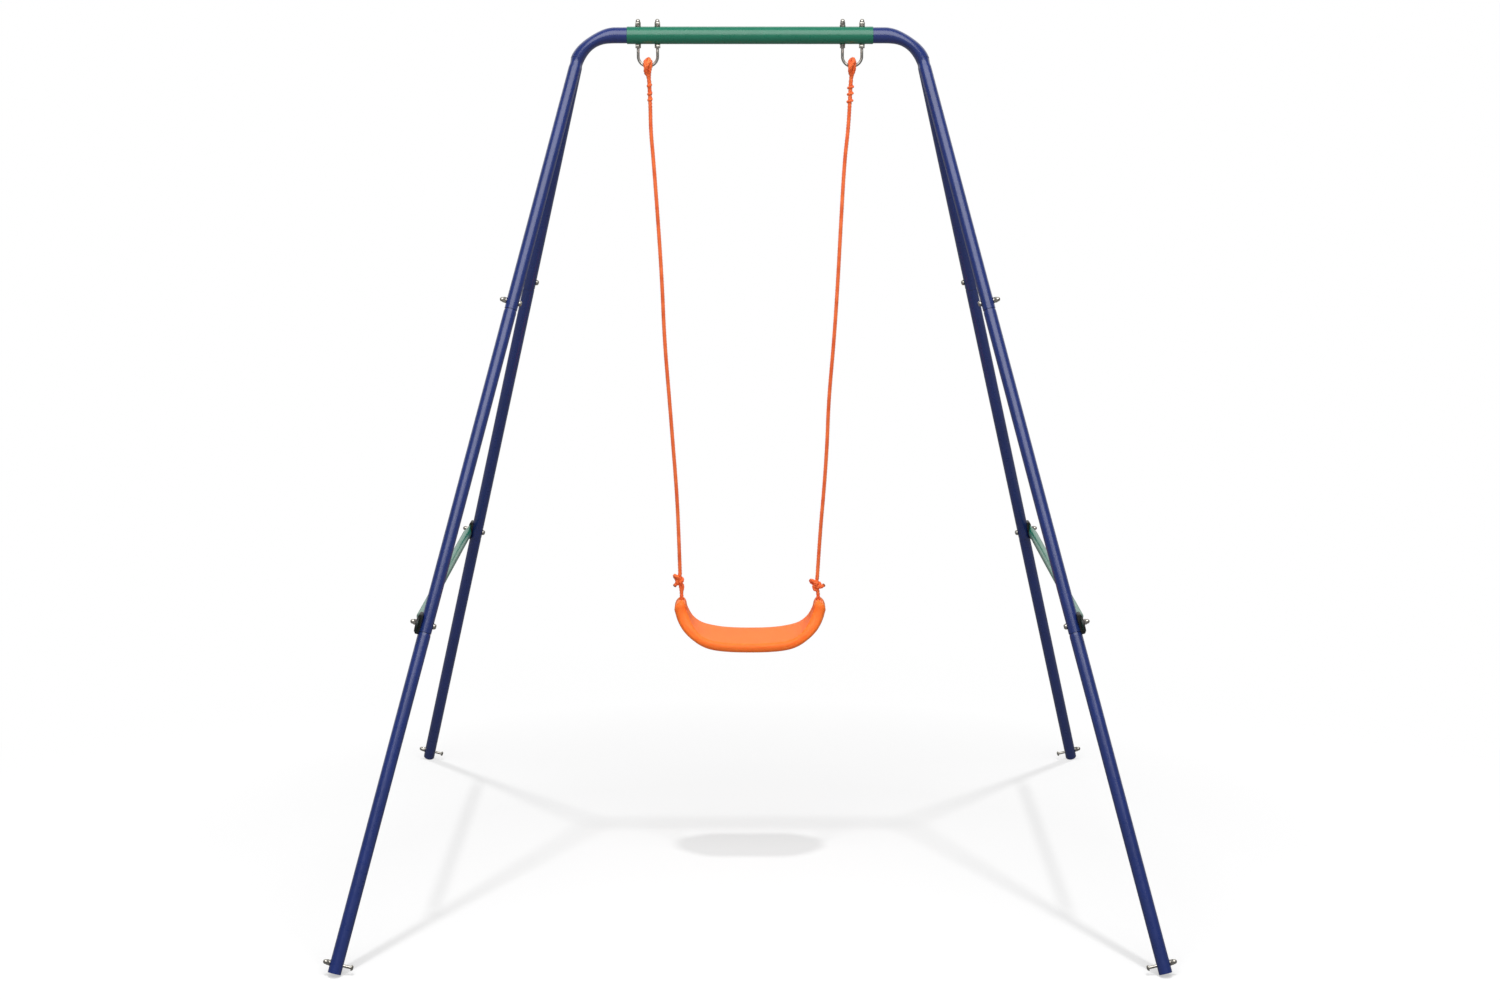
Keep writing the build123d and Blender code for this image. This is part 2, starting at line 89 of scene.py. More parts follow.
def add_node(tree, kind, inputs=None, **settings):
    """Adds one shader node, with its settings, its values and the links into it."""
    made = tree.nodes.new(kind)
    for name, value in settings.items():
        setattr(made, name, value)
    for socket, value in (inputs or {}).items():
        if isinstance(value, bpy.types.NodeSocket):
            tree.links.new(value, made.inputs[socket])
        else:
            made.inputs[socket].default_value = value
    return made


def new_finish(name):
    """An empty node material: returns it with its tree, its shader and its Object coordinates."""
    finish = bpy.data.materials.new(name)
    finish.use_nodes = True
    tree = finish.node_tree
    tree.nodes.clear()
    shader = add_node(tree, "ShaderNodeBsdfPrincipled")
    add_node(tree, "ShaderNodeOutputMaterial", {"Surface": shader.outputs["BSDF"]})
    place = add_node(tree, "ShaderNodeTexCoord").outputs["Object"]
    return finish, tree, shader, place


# Polyethylene split-film braid: slightly glossy, a little darker and redder in patches, with
# the fine grain of its films, 0.4 mm wide, on every strand.
braid_rope, tree, shader, place = new_finish("polyethylene_braid")
grime = add_node(tree, "ShaderNodeTexNoise", {"Vector": place, "Scale": 55, "Detail": 3})
tint = add_node(tree, "ShaderNodeValToRGB", {"Fac": grime.outputs["Fac"]})
for stop, position, colour in zip(tint.color_ramp.elements, (0.32, 0.7), ("e75a17", "ff7c38")):
    stop.position = position
    stop.color = linear(colour)
films = add_node(tree, "ShaderNodeTexNoise", {"Vector": place, "Scale": 2500, "Detail": 2})
relief = add_node(tree, "ShaderNodeBump",
                  {"Height": films.outputs["Fac"], "Strength": 0.5, "Distance": 0.0003})
tree.links.new(tint.outputs["Color"], shader.inputs["Base Color"])
tree.links.new(relief.outputs["Normal"], shader.inputs["Normal"])
shader.inputs["Roughness"].default_value = 0.42
shader.inputs["Sheen Weight"].default_value = 0.15

ROPE_D = 0.009
STRAND_R = 0.0016
STRAND_SWING = 0.0006  # in and out, where one strand crosses another
BRAID_PITCH = 0.025
PITCH_STEPS = 20
rope_routes = {
    "left": [(-0.2047, 1.6485), (-0.2026, 1.601), (-0.2024, 1.549), (-0.1972, 1.488), (-0.189, 1.366),
             (-0.1816, 1.242), (-0.1774, 1.118), (-0.1678, 0.992), (-0.161, 0.897), (-0.154, 0.801),
             (-0.1502, 0.711), (-0.1478, 0.621)],
    "right": [(0.2048, 1.6485), (0.2028, 1.601), (0.2, 1.549), (0.1932, 1.488), (0.187, 1.366),
              (0.1814, 1.242), (0.1742, 1.118), (0.1638, 0.992), (0.1612, 0.897), (0.1552, 0.801),
              (0.1476, 0.711), (0.1422, 0.614)],
}


def curve_mesh(data):
    """Mesh of a curve, which is then removed."""
    carrier = bpy.data.objects.new("curve", data)
    mesh = bpy.data.meshes.new_from_object(carrier)
    bpy.data.objects.remove(carrier)
    bpy.data.curves.remove(data)
    return mesh


def curve_points(points):
    """Points of the smooth NURBS line that these control points give."""
    data = bpy.data.curves.new("route", "CURVE")
    data.dimensions = "3D"
    spline = data.splines.new("NURBS")
    spline.points.add(len(points) - 1)
    for point, (x, y, z) in zip(spline.points, points):
        point.co = (x, y, z, 1)
    spline.order_u = 3
    spline.use_endpoint_u = True
    spline.resolution_u = 24
    line = curve_mesh(data)
    found = [v.co.copy() for v in line.vertices]
    bpy.data.meshes.remove(line)
    return found


def even_steps(points, step):
    """The same line with its points evenly spaced, about one step apart."""
    spans = [(b - a).length for a, b in zip(points, points[1:])]
    total = sum(spans)
    count = max(2, round(total / step))
    found, i, gone = [], 0, 0.0
    for k in range(count + 1):
        target = min(total * k / count, total - 1e-9)
        while gone + spans[i] < target:
            gone += spans[i]
            i += 1
        found.append(points[i].lerp(points[i + 1], (target - gone) / spans[i]))
    return found


def strand_lines(points, diameter):
    """Eight lines that weave one over, one under round the path, four each way, and their radius."""
    pitch = BRAID_PITCH * diameter / ROPE_D
    step = pitch / PITCH_STEPS
    line = even_steps(points, step)
    strand = STRAND_R * diameter / ROPE_D
    swing = STRAND_SWING * diameter / ROPE_D
    mean = diameter / 2 - strand - swing
    side = (line[1] - line[0]).orthogonal().normalized()
    strands = [[] for _ in range(8)]
    for i, centre in enumerate(line):
        ahead = (line[min(i + 1, len(line) - 1)] - line[max(i - 1, 0)]).normalized()
        side = (side - ahead * side.dot(ahead)).normalized()
        other = ahead.cross(side)
        phase = 2 * math.pi * i * step / pitch
        for way in (1, -1):
            reach = mean + way * swing * math.cos(4 * phase)
            for k in range(4):
                angle = way * phase + k * math.pi / 2
                offset = side * math.cos(angle) + other * math.sin(angle)
                strands[k if way > 0 else k + 4].append(centre + offset * reach)
    return strands, strand


def braid(paths):
    """Mesh of braided rope along each (points, diameter), the strands as round cords."""
    data = bpy.data.curves.new("strands", "CURVE")
    data.dimensions = "3D"
    data.bevel_depth = 1.0
    data.bevel_resolution = 1
    data.use_fill_caps = True
    for points, diameter in paths:
        strands, radius = strand_lines(points, diameter)
        for strand in strands:
            spline = data.splines.new("POLY")
            spline.points.add(len(strand) - 1)
            for point, place in zip(spline.points, strand):
                point.co = (*place, 1)
                point.radius = radius
    mesh = curve_mesh(data)
    mesh.shade_smooth()
    return mesh


def add_piece(name, mesh, finish, body, slot, *nodes):
    """Puts a finished mesh in the scene, on its body, in place of the nodes that it stands for."""
    mesh.name = name
    mesh.materials.clear()
    mesh.materials.append(finish)
    piece = bpy.data.objects.new(name, mesh)
    bpy.context.scene.collection.objects.link(piece)
    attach(piece, body)
    if nodes:
        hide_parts(*nodes)
    return piece


ropes = {}
for name, route in rope_routes.items():
    line = curve_points([(x, 0, z) for x, z in route])
    rope = add_piece(f"rope_braid_{name}", braid([(line, ROPE_D)]), braid_rope,
                     "ropes", "orange_rope", f"rope_{name}")
    ropes[name] = rope, line

# ---- Rope eyes -----------------------------------------------------------------------------
# Each rope takes two turns round its U-bolt under a third strand that crosses them, and its
# tail is pulled three times through its own hollow standing part, which locks it.
HANG_Z = 1.6765
ROD_X = 0.2068
# Routes, turns and the sizes of each hitch are in millimetres from the middle of the U-bolt's
# lowest rod. Girths are in metres.
TURN_R, TURN_TOP, TURN_STEPS = 7.9, 9.4, 32
TURN_GIRTH, NECK_GIRTH, RIDER_GIRTH, SLEEVE_GIRTH = 0.0086, 0.0084, 0.0088, 0.0092
NECK_JOINS = (0, 6)  # points of the rope's line that the necks run into
SLEEVE_PAST = 0.004  # beyond the last tuck
rider_route = [(-2.6, -5, -16), (-4.6, -9.5, -11), (-4.6, -13.6, -4), (-1, -15, 3.5), (3, -12.4, 9.6),
               (3, -6, 14), (0.4, 2, 14.6), (-1.6, 9, 11.6), (-2, 13.6, 4), (-1.4, 12, -6), (0, 7, -14),
               (0.4, 3, -20)]
crown_route = [(-5.6, -3, 5), (-4, -1, 10.6), (-1, 1, 13.6), (2, 1, 13.4), (4.4, -1, 10.6), (5.6, -3, 5)]
core_route = [(0.4, -7, 5), (0.2, -7.6, -3), (0, -4.4, -11), (0, -1.4, -20)]
hitches = {
    "left": dict(out=5.3, foot=3.2, neck=[(4.3, -8, 2), (4.1, -8, -5), (2.9, -6, -11), (1.3, -3, -18)],
                 tucks=(39.7, 53.6, 66.2), reach=3.1, bead=5.6),
    "right": dict(out=4.3, foot=3.9, neck=[(3.8, -8, 2), (3.9, -8, -6), (3, -6, -11.5), (0.8, -3, -17)],
                  tucks=(42.8, 55.9, 69.4), reach=4.9, bead=5.2),
}


def line_from(middle, route):
    """Smooth line along control points given in millimetres from a middle."""
    return curve_points([tuple(middle + Vector(p) / 1000) for p in route])


def rod_turn(rod, hitch, way):
    """One full turn round the rod, on one side of the rope, drawn in towards it below."""
    found = []
    for i in range(TURN_STEPS + 1):
        angle = 2 * math.pi * i / TURN_STEPS
        lift, swing = math.cos(angle), math.sin(angle)
        out = hitch["out"] + min(0, lift) * (hitch["out"] - hitch["foot"])
        rise = lift * (TURN_TOP if lift > 0 else TURN_R)
        found.append(rod + Vector((way * out, TURN_R * swing, rise)) / 1000)
    return found


def neck_line(rod, line, neck, way):
    """The strand from a turn down into the rope, which it leans after as it goes down."""
    top = [(line[i] - rod) * 1000 for i in NECK_JOINS]
    leaning = [(way * x + top[0].x * (z / top[0].z) ** 2 * (z < 0), y, z) for x, y, z in neck]
    return line_from(rod, leaning + top)


def tuck_route(out):
    """The tail's way round the front of the rope, between the two places where it goes in."""
    half = [(out * 0.4, 2.4, 2.6), (out, 0.8, 2), (out * 1.05, -1.6, 0.7), (out * 0.6, -3.8, 0.3)]
    return half + [(0, -4.4, 0)] + [(-x, y, -z) for x, y, z in reversed(half)]


for name, side in (("left", -1), ("right", 1)):
    line = ropes[name][1]
    rod = Vector((side * ROD_X, 0, HANG_Z))
    hitch = hitches[name]
    paths = []
    for way in (-1, 1):
        paths.append((rod_turn(rod, hitch, way), TURN_GIRTH))
        paths.append((neck_line(rod, line, hitch["neck"], way), NECK_GIRTH))
    paths.append((line_from(rod, rider_route), RIDER_GIRTH))
    paths.append((line_from(rod, core_route), NECK_GIRTH))
    paths.append((line_from(rod, crown_route), NECK_GIRTH))
    last = hitch["tucks"][2]
    paths.append(([p for p in line if p.z > HANG_Z - last / 1000 - SLEEVE_PAST], SLEEVE_GIRTH))
    for drop in hitch["tucks"]:
        at = min(line, key=lambda p: abs(HANG_Z - drop / 1000 - p.z))
        paths.append((line_from(at, tuck_route(hitch["reach"])), hitch["bead"] / 1000))
    add_piece(f"rope_hitch_{name}", braid(paths), braid_rope, "ropes", "orange_rope", f"rope_eye_{name}")

# ---- Knots above the seat ------------------------------------------------------------------
# A tight overhand knot is tied in each rope above the seat, and the rope goes on down into
# the seat's upturned end. A rope end, melted hard and brown, sticks out beside the knot.
PIVOT_X, PIVOT_Z = 0.1445, 0.564
KNOT_STEPS = 48
KNOT_ACROSS = 1.1  # half depth of the trefoil, on the scale where its lobes reach 3
THROUGH_GIRTH, LOOP_GIRTH = 0.0088, 0.0082
MELTED_R, MELTED_LUMPS, MELTED_FLAT = 0.0040, 0.12, 0.6
melted, tree, shader, place = new_finish("melted_rope_end")
char = add_node(tree, "ShaderNodeTexNoise", {"Vector": place, "Scale": 900, "Detail": 3})
tint = add_node(tree, "ShaderNodeMix",
                {"Factor": char.outputs["Fac"], 6: linear("7a3812"), 7: linear("c2601f")}, data_type="RGBA")
relief = add_node(tree, "ShaderNodeBump",
                  {"Height": char.outputs["Fac"], "Strength": 0.5, "Distance": 0.0004})
tree.links.new(tint.outputs[2], shader.inputs["Base Color"])
tree.links.new(relief.outputs["Normal"], shader.inputs["Normal"])
shader.inputs["Roughness"].default_value = 0.3


def overhand(centre, size, tilt, across):
    """Closed trefoil round the centre, its lobes turned by tilt."""
    turn = Matrix.Rotation(tilt, 3, "Y")
    found = []
    for i in range(KNOT_STEPS + 1):
        t = 2 * math.pi * i / KNOT_STEPS
        lobe = Vector((math.sin(t) + 2 * math.sin(2 * t), -across * math.sin(3 * t),
                       math.cos(t) - 2 * math.cos(2 * t)))
        found.append(centre + turn @ lobe * size / 3)
    return found


# The routes below are in millimetres from the middle of each knot.
knots = {
    "left": dict(centre=(-0.1502, 0, 0.6066), size=0.0078, tilt=0.28,
                 lobe=[(2, 2, -3), (-5, 1, 3), (-10.5, -1, 9.5), (-8, -4, 12), (-1, -5, 7)],
                 end=[(1, 1, 1), (-3, -1, -4), (-9, -3, -11)],
                 under=[(3, -2, -5), (7.6, -2, -8), (8.8, -1.6, -13), (8, -1, -19), (6, 0, -25),
                        (5.7, 0, -31)]),
    "right": dict(centre=(0.1402, 0, 0.5972), size=0.008, tilt=0.5,
                  lobe=[(2, 3, -3), (-7, 3, 2), (-12.5, 1, 7.5), (-11.5, -3, 11), (-5, -5, 8), (1, -5, 1)],
                  end=[(-3, -1, -2), (4, -3, -5), (11, -2, -4.4), (16, -1, -0.6)],
                  under=[(-6, -2, -4), (-5, -3, -10), (-1, -2, -12), (3.6, 0, -10)]),
}
for name, side in (("left", -1), ("right", 1)):
    rope, line = ropes[name]
    knot = knots[name]
    centre = Vector(knot["centre"])
    hole = Vector((side * PIVOT_X, 0, PIVOT_Z))
    above = line[-1]
    into = [tuple(above), tuple(above.lerp(centre, 0.6)), tuple(centre + Vector((0, 0.003, -0.002)))]
    below = Vector((hole.x, 0.001, centre.z - 0.014))
    out_of = [tuple(centre + Vector((0, 0.002, 0))), tuple(below), tuple(hole)]
    paths = [(curve_points(into), THROUGH_GIRTH), (curve_points(out_of), THROUGH_GIRTH),
             (overhand(centre, knot["size"], knot["tilt"], KNOT_ACROSS), LOOP_GIRTH)]
    for part, girth in (("lobe", 0.0084), ("end", 0.0084), ("under", 0.0064)):
        paths.append((line_from(centre, knot[part]), girth))
    knot_piece = add_piece(f"rope_overhand_{name}", braid(paths), braid_rope,
                           "ropes", "orange_rope", f"rope_knot_{name}")
    tip, before = (Vector(p) / 1000 for p in (knot["end"][-1], knot["end"][-2]))
    bm = bmesh.new()
    bmesh.ops.create_uvsphere(bm, u_segments=24, v_segments=12, radius=MELTED_R)
    for v in bm.verts:
        v.co *= 1 + MELTED_LUMPS * noise.noise(v.co * 700)
        v.co.z *= MELTED_FLAT
    aim = (tip - before).to_track_quat("Z", "Y").to_matrix().to_4x4()
    bmesh.ops.transform(bm, matrix=Matrix.Translation(centre + tip) @ aim, verts=bm.verts)
    blob = bpy.data.meshes.new("melted_end")
    bm.to_mesh(blob)
    bm.free()
    blob.shade_smooth()
    add_piece(f"melted_end_{name}", blob, melted, "ropes", "orange_rope")

# ---- Stopper knots in the seat -----------------------------------------------------------------
# The rope's end is knotted again below each hole, and the knot sits up in a round pocket
# that is open on the outer side of the seat's end.
STOP_R = 0.009
STOP_SIZE, STOP_TILT, STOP_ACROSS, STOP_GIRTH = 0.0056, 0.4, 1.2, 0.0058
for name, side in (("left", -1), ("right", 1)):
    low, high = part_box(f"rope_stop_{name}")
    centre = Vector((side * PIVOT_X, 0, low.z + STOP_R))
    stem = [Vector((side * PIVOT_X, 0, high.z - 0.001)), centre]
    loops = overhand(centre, STOP_SIZE, STOP_TILT, STOP_ACROSS)
    knot = braid([(stem, THROUGH_GIRTH), (loops, STOP_GIRTH)])
    add_piece(f"rope_stopper_{name}", knot, braid_rope, "seat", "orange_rope", f"rope_stop_{name}")

# ---- Floor, backdrop and lamps ---------------------------------------------------------------
# A wide white sheet, its own white growing with the distance so that no horizon shows. The
# light is a broad box overhead, with a small high lamp that lays the soft shadow.
SHADOW_MIDDLE = (0, -0.4, 0)
SHEET_HALF = 60
sheet_finish = bpy.data.materials.new("white_studio_sheet")
sheet_finish.use_nodes = True
tree = sheet_finish.node_tree
tree.nodes.clear()
ray = add_node(tree, "ShaderNodeLightPath")
clear = add_node(tree, "ShaderNodeMath",
                 {0: ray.outputs["Is Camera Ray"], 1: ray.outputs["Is Transmission Ray"]},
                 operation="MAXIMUM")
# To the eye the sheet is white. The light it throws back up is grey and its reflections are dark grey, so
# this colour is painted shade on the swing's undersides and painted dimness in its gloss.
skin = add_node(tree, "ShaderNodeMix", {"Factor": clear.outputs[0], 6: linear("a8a8a8"), 7: linear("ffffff")},
                data_type="RGBA")
skin = add_node(tree, "ShaderNodeMix",
                {"Factor": ray.outputs["Is Glossy Ray"], 6: skin.outputs[2], 7: linear("4c4c4c")},
                data_type="RGBA")
lit = add_node(tree, "ShaderNodeBsdfDiffuse", {"Color": skin.outputs[2]})
place = add_node(tree, "ShaderNodeTexCoord").outputs["Object"]
away = add_node(tree, "ShaderNodeVectorMath", {0: place, 1: SHADOW_MIDDLE}, operation="DISTANCE")
level = add_node(tree, "ShaderNodeMapRange",
                 {"Value": away.outputs["Value"], 1: 0.9, 2: 1.6, 3: 0.84, 4: 1.0})
own = add_node(tree, "ShaderNodeEmission", {"Color": linear("ffffff"), "Strength": level.outputs[0]})
fade = add_node(tree, "ShaderNodeMapRange",
                {"Value": away.outputs["Value"], 1: 1.1, 2: 2.2, 3: 0.6, 4: 1.0})
mirrored = add_node(tree, "ShaderNodeMath", {0: ray.outputs["Is Glossy Ray"], 1: 0.25}, operation="MULTIPLY")
seen = add_node(tree, "ShaderNodeMath", {0: clear.outputs[0], 1: mirrored.outputs[0]}, operation="MAXIMUM")
share = add_node(tree, "ShaderNodeMath", {0: seen.outputs[0], 1: fade.outputs[0]}, operation="MULTIPLY")
both = add_node(tree, "ShaderNodeMixShader",
                {"Fac": share.outputs[0], 1: lit.outputs[0], 2: own.outputs[0]})
add_node(tree, "ShaderNodeOutputMaterial", {"Surface": both.outputs[0]})

bm = bmesh.new()
bmesh.ops.create_grid(bm, x_segments=1, y_segments=1, size=SHEET_HALF)
floor_mesh = bpy.data.meshes.new("floor")
bm.to_mesh(floor_mesh)
bm.free()
floor_mesh.materials.append(sheet_finish)
floor = bpy.data.objects.new("floor", floor_mesh)
bpy.context.scene.collection.objects.link(floor)
floor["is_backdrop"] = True

# White all round to the eye. In the gloss, the white stands behind the swing and the rest of
# the room is dim.
world = bpy.data.worlds.new("studio")
bpy.context.scene.world = world
world.use_nodes = True
tree = world.node_tree
tree.nodes.clear()
toward = add_node(tree, "ShaderNodeTexCoord").outputs["Generated"]
behind = add_node(tree, "ShaderNodeSeparateXYZ", {"Vector": toward}).outputs["Y"]
level = add_node(tree, "ShaderNodeMapRange", {"Value": behind, 1: 0.25, 2: 0.7, 3: 0.15, 4: 1.0})
ray = add_node(tree, "ShaderNodeLightPath")
clear = add_node(tree, "ShaderNodeMath",
                 {0: ray.outputs["Is Camera Ray"], 1: ray.outputs["Is Transmission Ray"]},
                 operation="MAXIMUM")
level = add_node(tree, "ShaderNodeMath", {0: level.outputs[0], 1: clear.outputs[0]}, operation="MAXIMUM")
fill = add_node(tree, "ShaderNodeBackground", {"Color": linear("ffffff"), "Strength": 0.24})
white = add_node(tree, "ShaderNodeBackground", {"Color": linear("ffffff"), "Strength": level.outputs[0]})
seen = add_node(tree, "ShaderNodeMath", {0: clear.outputs[0], 1: ray.outputs["Is Glossy Ray"]},
                operation="MAXIMUM")
both = add_node(tree, "ShaderNodeMixShader",
                {"Fac": seen.outputs[0], 1: fill.outputs[0], 2: white.outputs[0]})
add_node(tree, "ShaderNodeOutputWorld", {"Surface": both.outputs[0]})


def add_lamp(name, kind, place, aim, power, size, long=None):
    """A lamp at a place, turned towards its aim."""
    data = bpy.data.lights.new(name, kind)
    data.energy = power
    if kind == "SUN":
        data.angle = size
    else:
        data.shape = "RECTANGLE"
        data.size = size
        data.size_y = long
    lamp = bpy.data.objects.new(name, data)
    lamp.location = place
    lamp.rotation_euler = (Vector(aim) - Vector(place)).to_track_quat("-Z", "Y").to_euler()
    bpy.context.scene.collection.objects.link(lamp)
    return lamp


high_lamp = add_lamp("high_lamp", "SUN", (0, -0.7, 6), (0, 0, 0), 1.3, math.radians(3.4))
high_lamp.visible_glossy = False
add_lamp("overhead_box", "AREA", (0, -2.4, 3.5), (0, -0.6, 0.4), 158, 4.4, 3.6)

# ---- Crossbar ----------------------------------------------------------------------------------
# One straight length of 35 mm steel tube with a 1.4 mm wall, cut square, its cut edges just
# broken, and powder-coated green. Both corner tubes slide into its ends.


def new_paint(name, deep, pale, coat):
    """Gloss polyester powder coat: a slight orange peel, 2 mm from crest to crest, rubbed in places."""
    finish, tree, shader, place = new_finish(name)
    drift = add_node(tree, "ShaderNodeTexNoise", {"Vector": place, "Scale": 14, "Detail": 2})
    tint = add_node(tree, "ShaderNodeMix", {"Factor": drift.outputs["Fac"], 6: linear(deep), 7: linear(pale)},
                    data_type="RGBA")
    peel = add_node(tree, "ShaderNodeTexNoise", {"Vector": place, "Scale": 500, "Detail": 1})
    relief = add_node(tree, "ShaderNodeBump",
                      {"Height": peel.outputs["Fac"], "Strength": 0.12, "Distance": 0.0004})
    rubs = add_node(tree, "ShaderNodeTexNoise", {"Vector": place, "Scale": 90, "Detail": 5})
    gloss = add_node(tree, "ShaderNodeMapRange",
                     {"Value": rubs.outputs["Fac"], 1: 0.35, 2: 0.75, 3: 0.26, 4: 0.38})
    tree.links.new(tint.outputs[2], shader.inputs["Base Color"])
    tree.links.new(gloss.outputs[0], shader.inputs["Roughness"])
    tree.links.new(relief.outputs["Normal"], shader.inputs["Normal"])
    shader.inputs["Coat Weight"].default_value = coat
    shader.inputs["Coat Roughness"].default_value = 0.3
    return finish


green_paint = new_paint("powder_coat_green", "10644c", "166e54", 0.3)


TOUCHING = 1e-6  # points closer than this are one


def spun(profile, steps=48):
    """Closed profile of (radius, height) turned once round Z."""
    bm = bmesh.new()
    corners = [bm.verts.new((r, 0, z)) for r, z in profile]
    edges = [bm.edges.new(pair) for pair in zip(corners, corners[1:] + corners[:1])]
    bmesh.ops.spin(bm, geom=corners + edges, cent=(0, 0, 0), axis=(0, 0, 1), dvec=(0, 0, 0),
                   angle=2 * math.pi, steps=steps, use_merge=True, use_duplicate=False)
    bmesh.ops.remove_doubles(bm, verts=bm.verts, dist=TOUCHING)
    bmesh.ops.recalc_face_normals(bm, faces=bm.faces)
    return bm


def tube_profile(radius, wall, low, high, edge):
    """Wall of a tube between two heights, with its cut edges broken."""
    inner = radius - wall
    return [(inner + edge, low), (radius - edge, low), (radius, low + edge), (radius, high - edge),
            (radius - edge, high), (inner + edge, high), (inner, high - edge), (inner, low + edge)]


def as_mesh(bm, name, angle=32):
    """Mesh of a finished bmesh, smooth but for edges sharper than the angle."""
    mesh = bpy.data.meshes.new(name)
    bm.to_mesh(mesh)
    bm.free()
    mesh.shade_smooth()
    mesh.set_sharp_from_angle(angle=math.radians(angle))
    return mesh


low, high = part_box("crossbar")
BAR_R, BAR_HALF, BAR_Z = (high.z - low.z) / 2, high.x, (low.z + high.z) / 2
BAR_WALL, BAR_EDGE = 0.0014, 0.0005
bm = spun(tube_profile(BAR_R, BAR_WALL, -BAR_HALF, BAR_HALF, BAR_EDGE), 64)
across = Matrix.Translation((0, 0, BAR_Z)) @ Matrix.Rotation(math.pi / 2, 4, "Y")
bmesh.ops.transform(bm, matrix=across, verts=bm.verts)
add_piece("crossbar_tube", as_mesh(bm, "crossbar_tube"), green_paint,
          "frame", "green_powder_coat", "crossbar")

# ---- Corner tubes and upper legs -----------------------------------------------------------------
# 32 mm tube bent down through 75 degrees and pressed flat as it bends, with two 25 mm legs
# coped round its end, welded and then powder-coated dark blue together.
blue_paint = new_paint("powder_coat_blue", "14265c", "1c2f72", 0.5)


def merged_copy(node):
    """Bmesh of a node's own surface, with its points joined."""
    bm = bmesh.new()
    bm.from_mesh(frame["nodes"][node].data)
    bmesh.ops.remove_doubles(bm, verts=bm.verts, dist=2 * TOUCHING)
    return bm


def smooth_copy(node, angle=32):
    """Mesh of a node's own surface, shaded smooth but for its sharp edges."""
    return as_mesh(merged_copy(node), node, angle)


def cut_across(bm, at, way, drop_behind=False):
    """Cuts the faces along the plane through a point, and can drop what lies behind it."""
    whole = list(bm.verts) + list(bm.edges) + list(bm.faces)
    bmesh.ops.bisect_plane(bm, geom=whole, dist=TOUCHING, plane_co=at, plane_no=way, clear_inner=drop_behind)


def ease(t):
    """From 0 to 1 with a soft start and a soft end."""
    t = min(1.0, max(0.0, t))
    return t * t * (3 - 2 * t)


BEND_X, BEND_R, BEND_END = 0.272, 0.0845, math.radians(75.5)
BEND_HALF = 0.0125  # half thickness of the flattened tube at its lower end
SWELL, SWELL_IN, SWELL_OUT = 0.003, 0.02, 0.06  # its height, and its length below and above its crest


def flush_bend(node):
    """The corner tube, its outer side filled out and dressed flush with the tops of the legs."""
    mesh = smooth_copy(node)
    for v in mesh.vertices:
        x, z = abs(v.co.x) - BEND_X, v.co.z - (BAR_Z - BEND_R)
        reach, angle = math.hypot(x, z), math.atan2(x, z)
        if angle > 0 and reach > BEND_R:
            left = (BEND_END - angle) * BEND_R
            swell = SWELL * ease(left / SWELL_IN) * (1 - ease((left - SWELL_IN) / SWELL_OUT))
            grown = 1 + swell * min(1.0, (reach - BEND_R) / BEND_HALF) / reach
            v.co.x = math.copysign(BEND_X + x * grown, v.co.x)
            v.co.z = BAR_Z - BEND_R + z * grown
    return mesh


BEAD_R, BEAD_STEPS, BEAD_WAVES = 0.001, 72, 0.0004


def bead_mesh(lines):
    """A closed round bead of weld metal along each line of points."""
    data = bpy.data.curves.new("bead", "CURVE")
    data.dimensions = "3D"
    data.bevel_depth = BEAD_R
    data.bevel_resolution = 2
    for line in lines:
        spline = data.splines.new("POLY")
        spline.points.add(len(line) - 1)
        for point, place in zip(spline.points, line):
            point.co = (*place, 1)
        spline.use_cyclic_u = True
    mesh = curve_mesh(data)
    mesh.shade_smooth()
    return mesh


LEG_R, LEG_WALL, FORK_UP, LEG_TOP = 0.0127, 0.0012, 1.849204, 1.869204
FAIR_BELOW, FAIR_LONG = 0.004, 0.022


def fair_down(bm, skin, place):
    """Draws the top of a leg down to the bend's own surface, as a ground weld is."""
    back = place.inverted()
    for v in bm.verts:
        past = (back @ v.co).z - FORK_UP
        spot, normal, _, _ = skin.find_nearest(v.co)
        if past > -FAIR_BELOW and (v.co - spot).dot(normal) > 0:
            v.co = v.co.lerp(spot, ease((past + FAIR_BELOW) / FAIR_LONG))


feet = {m["name"][5:]: m for m in frame["record"]["mounts"] if m["name"].startswith("foot_")}
MOUNT_R = 0.0121  # a foot mount lies in the middle of its tube's wall


def leg_frame(corner, up=0.0):
    """Axes of a leg: z up the tube from its cut end, x along its bolts and outwards."""
    side, end = (1 if "right" in corner else -1), (1 if "rear" in corner else -1)
    axis = -Vector(feet[corner]["axis"])
    out = Vector((side * axis.z, 0, abs(axis.x))).normalized()
    inner_wall = Vector(feet[corner]["pos_m"])
    foot = inner_wall + out * MOUNT_R
    turn = Matrix((out, axis.cross(out), axis)).transposed().to_4x4()
    return Matrix.Translation(foot + axis * up) @ turn


